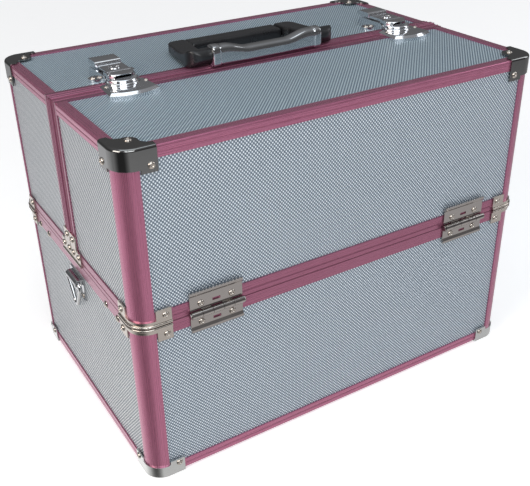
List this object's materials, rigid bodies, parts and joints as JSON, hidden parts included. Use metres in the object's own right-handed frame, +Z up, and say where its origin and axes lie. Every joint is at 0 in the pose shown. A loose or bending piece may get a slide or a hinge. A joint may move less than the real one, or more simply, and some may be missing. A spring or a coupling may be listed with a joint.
{
  "type": "makeup train case",
  "caption": "Hard case with a box below two half-lids that swing outward on side hinges, draw latches, a fold-down bail handle, strap rings and cantilever trays inside.",
  "frame": {"origin": "centre of the footprint, on the surface the case stands on", "axes": "+X along the long side to the right, +Y to the rear half-lid that carries the handle, +Z up"},
  "size_m": [0.372, 0.2544, 0.2898],
  "materials": {
    "textured_panel": "silver-grey laminate with a fine raised dot pattern",
    "anodised_rail": "rose-pink anodised satin",
    "satin_nickel": "satin nickel plate",
    "bright_chrome": "bright plate",
    "black_handle": "gloss black",
    "black_lining": "flocked black lining",
    "tray_plastic": "grained black moulding",
    "zinc_arm": "zinc-plated flat bar"
  },
  "bodies": {
    "box": {"bottom_panel": "textured_panel", "base_front_panel": "textured_panel", "base_back_panel": "textured_panel", "base_side_panels": "textured_panel", "base_corner_posts": "anodised_rail", "base_bottom_rails": "anodised_rail", "base_rim_rails": "anodised_rail", "base_corner_caps": "satin_nickel", "base_rim_brackets": "satin_nickel", "base_lining": "black_lining", "base_hinge_leaves": "satin_nickel", "hinge_pins": "satin_nickel", "base_rivets": "satin_nickel", "ring_brackets": "bright_chrome", "tray_arm_pivots": "satin_nickel"},
    "front_lid": {"front_lid_wall_panel": "textured_panel", "front_lid_top_panel": "textured_panel", "front_lid_side_panels": "textured_panel", "front_lid_corner_posts": "anodised_rail", "front_lid_top_rails": "anodised_rail", "front_lid_rim_rails": "anodised_rail", "front_lid_split_frame": "anodised_rail", "front_lid_corner_caps": "bright_chrome", "front_lid_rim_brackets": "satin_nickel", "front_lid_hinge_leaves": "satin_nickel", "front_lid_lining": "black_lining", "front_lid_rivets": "satin_nickel", "latch_strikes": "bright_chrome"},
    "back_lid": {"back_lid_wall_panel": "textured_panel", "back_lid_top_panel": "textured_panel", "back_lid_side_panels": "textured_panel", "back_lid_corner_posts": "anodised_rail", "back_lid_top_rails": "anodised_rail", "back_lid_rim_rails": "anodised_rail", "back_lid_split_frame": "anodised_rail", "back_lid_corner_caps": "bright_chrome", "back_lid_rim_brackets": "satin_nickel", "back_lid_hinge_leaves": "satin_nickel", "back_lid_lining": "black_lining", "back_lid_rivets": "satin_nickel", "latch_bases": "bright_chrome", "handle_base": "black_handle"},
    "handle": {"handle_arms": "black_handle", "handle_grip": "bright_chrome"},
    "left_hook": {"left_latch_hook": "bright_chrome"},
    "left_lever": {"left_latch_lever": "bright_chrome"},
    "left_lock": {"left_lock_cylinder": "bright_chrome"},
    "left_ring": {"left_strap_ring": "bright_chrome"},
    "right_hook": {"right_latch_hook": "bright_chrome"},
    "right_lever": {"right_latch_lever": "bright_chrome"},
    "right_lock": {"right_lock_cylinder": "bright_chrome"},
    "right_ring": {"right_strap_ring": "bright_chrome"},
    "front_lead_arms": {"front_lead_arms": "zinc_arm"},
    "front_follower_arms": {"front_follower_arms": "zinc_arm"},
    "front_lower_tray": {"front_lower_tray": "tray_plastic"},
    "front_upper_tray": {"front_upper_tray": "tray_plastic"},
    "back_lead_arms": {"back_lead_arms": "zinc_arm"},
    "back_follower_arms": {"back_follower_arms": "zinc_arm"},
    "back_lower_tray": {"back_lower_tray": "tray_plastic"},
    "back_upper_tray": {"back_upper_tray": "tray_plastic"}
  },
  "joints": [
    {"name": "front_lid_swing", "type": "hinge", "parent": "box", "child": "front_lid", "pos_m": [0, -0.1246, 0.14], "axis": [1, 0, 0], "range_deg": [0, 95]},
    {"name": "back_lid_swing", "type": "hinge", "parent": "box", "child": "back_lid", "pos_m": [0, 0.1246, 0.14], "axis": [-1, 0, 0], "range_deg": [0, 95]},
    {"name": "handle_swing", "type": "hinge", "parent": "back_lid", "child": "handle", "pos_m": [0, 0.0544, 0.2766], "axis": [-1, 0, 0], "range_deg": [0, 95]},
    {"name": "right_hook_swing", "type": "hinge", "parent": "back_lid", "child": "right_hook", "pos_m": [0.135, 0.008, 0.276], "axis": [-1, 0, 0], "range_deg": [0, 25]},
    {"name": "right_lever_swing", "type": "hinge", "parent": "right_hook", "child": "right_lever", "pos_m": [0.135, 0.0036, 0.2807], "axis": [1, 0, 0], "range_deg": [0, 100]},
    {"name": "right_lock_turn", "type": "hinge", "parent": "right_lever", "child": "right_lock", "pos_m": [0.135, 0.0112, 0.2828], "axis": [0, 0, 1], "range_deg": [0, 90]},
    {"name": "right_ring_swing", "type": "hinge", "parent": "box", "child": "right_ring", "pos_m": [0.183, 0, 0.122], "axis": [0, -1, 0], "range_deg": [0, 100]},
    {"name": "left_hook_swing", "type": "hinge", "parent": "back_lid", "child": "left_hook", "pos_m": [-0.1245, 0.008, 0.276], "axis": [-1, 0, 0], "range_deg": [0, 25]},
    {"name": "left_lever_swing", "type": "hinge", "parent": "left_hook", "child": "left_lever", "pos_m": [-0.1245, 0.0036, 0.2807], "axis": [1, 0, 0], "range_deg": [0, 100]},
    {"name": "left_lock_turn", "type": "hinge", "parent": "left_lever", "child": "left_lock", "pos_m": [-0.1245, 0.0112, 0.2828], "axis": [0, 0, 1], "range_deg": [0, 90]},
    {"name": "left_ring_swing", "type": "hinge", "parent": "box", "child": "left_ring", "pos_m": [-0.183, 0, 0.122], "axis": [0, 1, 0], "range_deg": [0, 100]},
    {"name": "front_lead_arm_swing", "type": "hinge", "parent": "box", "child": "front_lead_arms", "pos_m": [0, -0.065, 0.132], "axis": [1, 0, 0], "range_deg": [0, 60]},
    {"name": "front_follower_arm_swing", "type": "hinge", "parent": "box", "child": "front_follower_arms", "pos_m": [0, -0.087, 0.132], "axis": [1, 0, 0], "range_deg": [0, 60]},
    {"name": "front_lower_tray_level", "type": "hinge", "parent": "front_lead_arms", "child": "front_lower_tray", "pos_m": [0, -0.0396, 0.17599], "axis": [-1, 0, 0], "range_deg": [0, 60]},
    {"name": "front_upper_tray_level", "type": "hinge", "parent": "front_lead_arms", "child": "front_upper_tray", "pos_m": [0, -0.012, 0.2238], "axis": [-1, 0, 0], "range_deg": [0, 60]},
    {"name": "back_lead_arm_swing", "type": "hinge", "parent": "box", "child": "back_lead_arms", "pos_m": [0, 0.065, 0.132], "axis": [-1, 0, 0], "range_deg": [0, 60]},
    {"name": "back_follower_arm_swing", "type": "hinge", "parent": "box", "child": "back_follower_arms", "pos_m": [0, 0.087, 0.132], "axis": [-1, 0, 0], "range_deg": [0, 60]},
    {"name": "back_lower_tray_level", "type": "hinge", "parent": "back_lead_arms", "child": "back_lower_tray", "pos_m": [0, 0.0396, 0.17599], "axis": [1, 0, 0], "range_deg": [0, 60]},
    {"name": "back_upper_tray_level", "type": "hinge", "parent": "back_lead_arms", "child": "back_upper_tray", "pos_m": [0, 0.012, 0.2238], "axis": [1, 0, 0], "range_deg": [0, 60]}
  ],
  "couplings": [
    {"joint": "right_hook_swing", "follows": "right_lever_swing", "ratio": 0.25},
    {"joint": "left_hook_swing", "follows": "left_lever_swing", "ratio": 0.25},
    {"joint": "front_lead_arm_swing", "follows": "front_lid_swing", "ratio": 0.63158},
    {"joint": "front_follower_arm_swing", "follows": "front_lid_swing", "ratio": 0.63158},
    {"joint": "front_lower_tray_level", "follows": "front_lid_swing", "ratio": 0.63158},
    {"joint": "front_upper_tray_level", "follows": "front_lid_swing", "ratio": 0.63158},
    {"joint": "back_lead_arm_swing", "follows": "back_lid_swing", "ratio": 0.63158},
    {"joint": "back_follower_arm_swing", "follows": "back_lid_swing", "ratio": 0.63158},
    {"joint": "back_lower_tray_level", "follows": "back_lid_swing", "ratio": 0.63158},
    {"joint": "back_upper_tray_level", "follows": "back_lid_swing", "ratio": 0.63158}
  ]
}
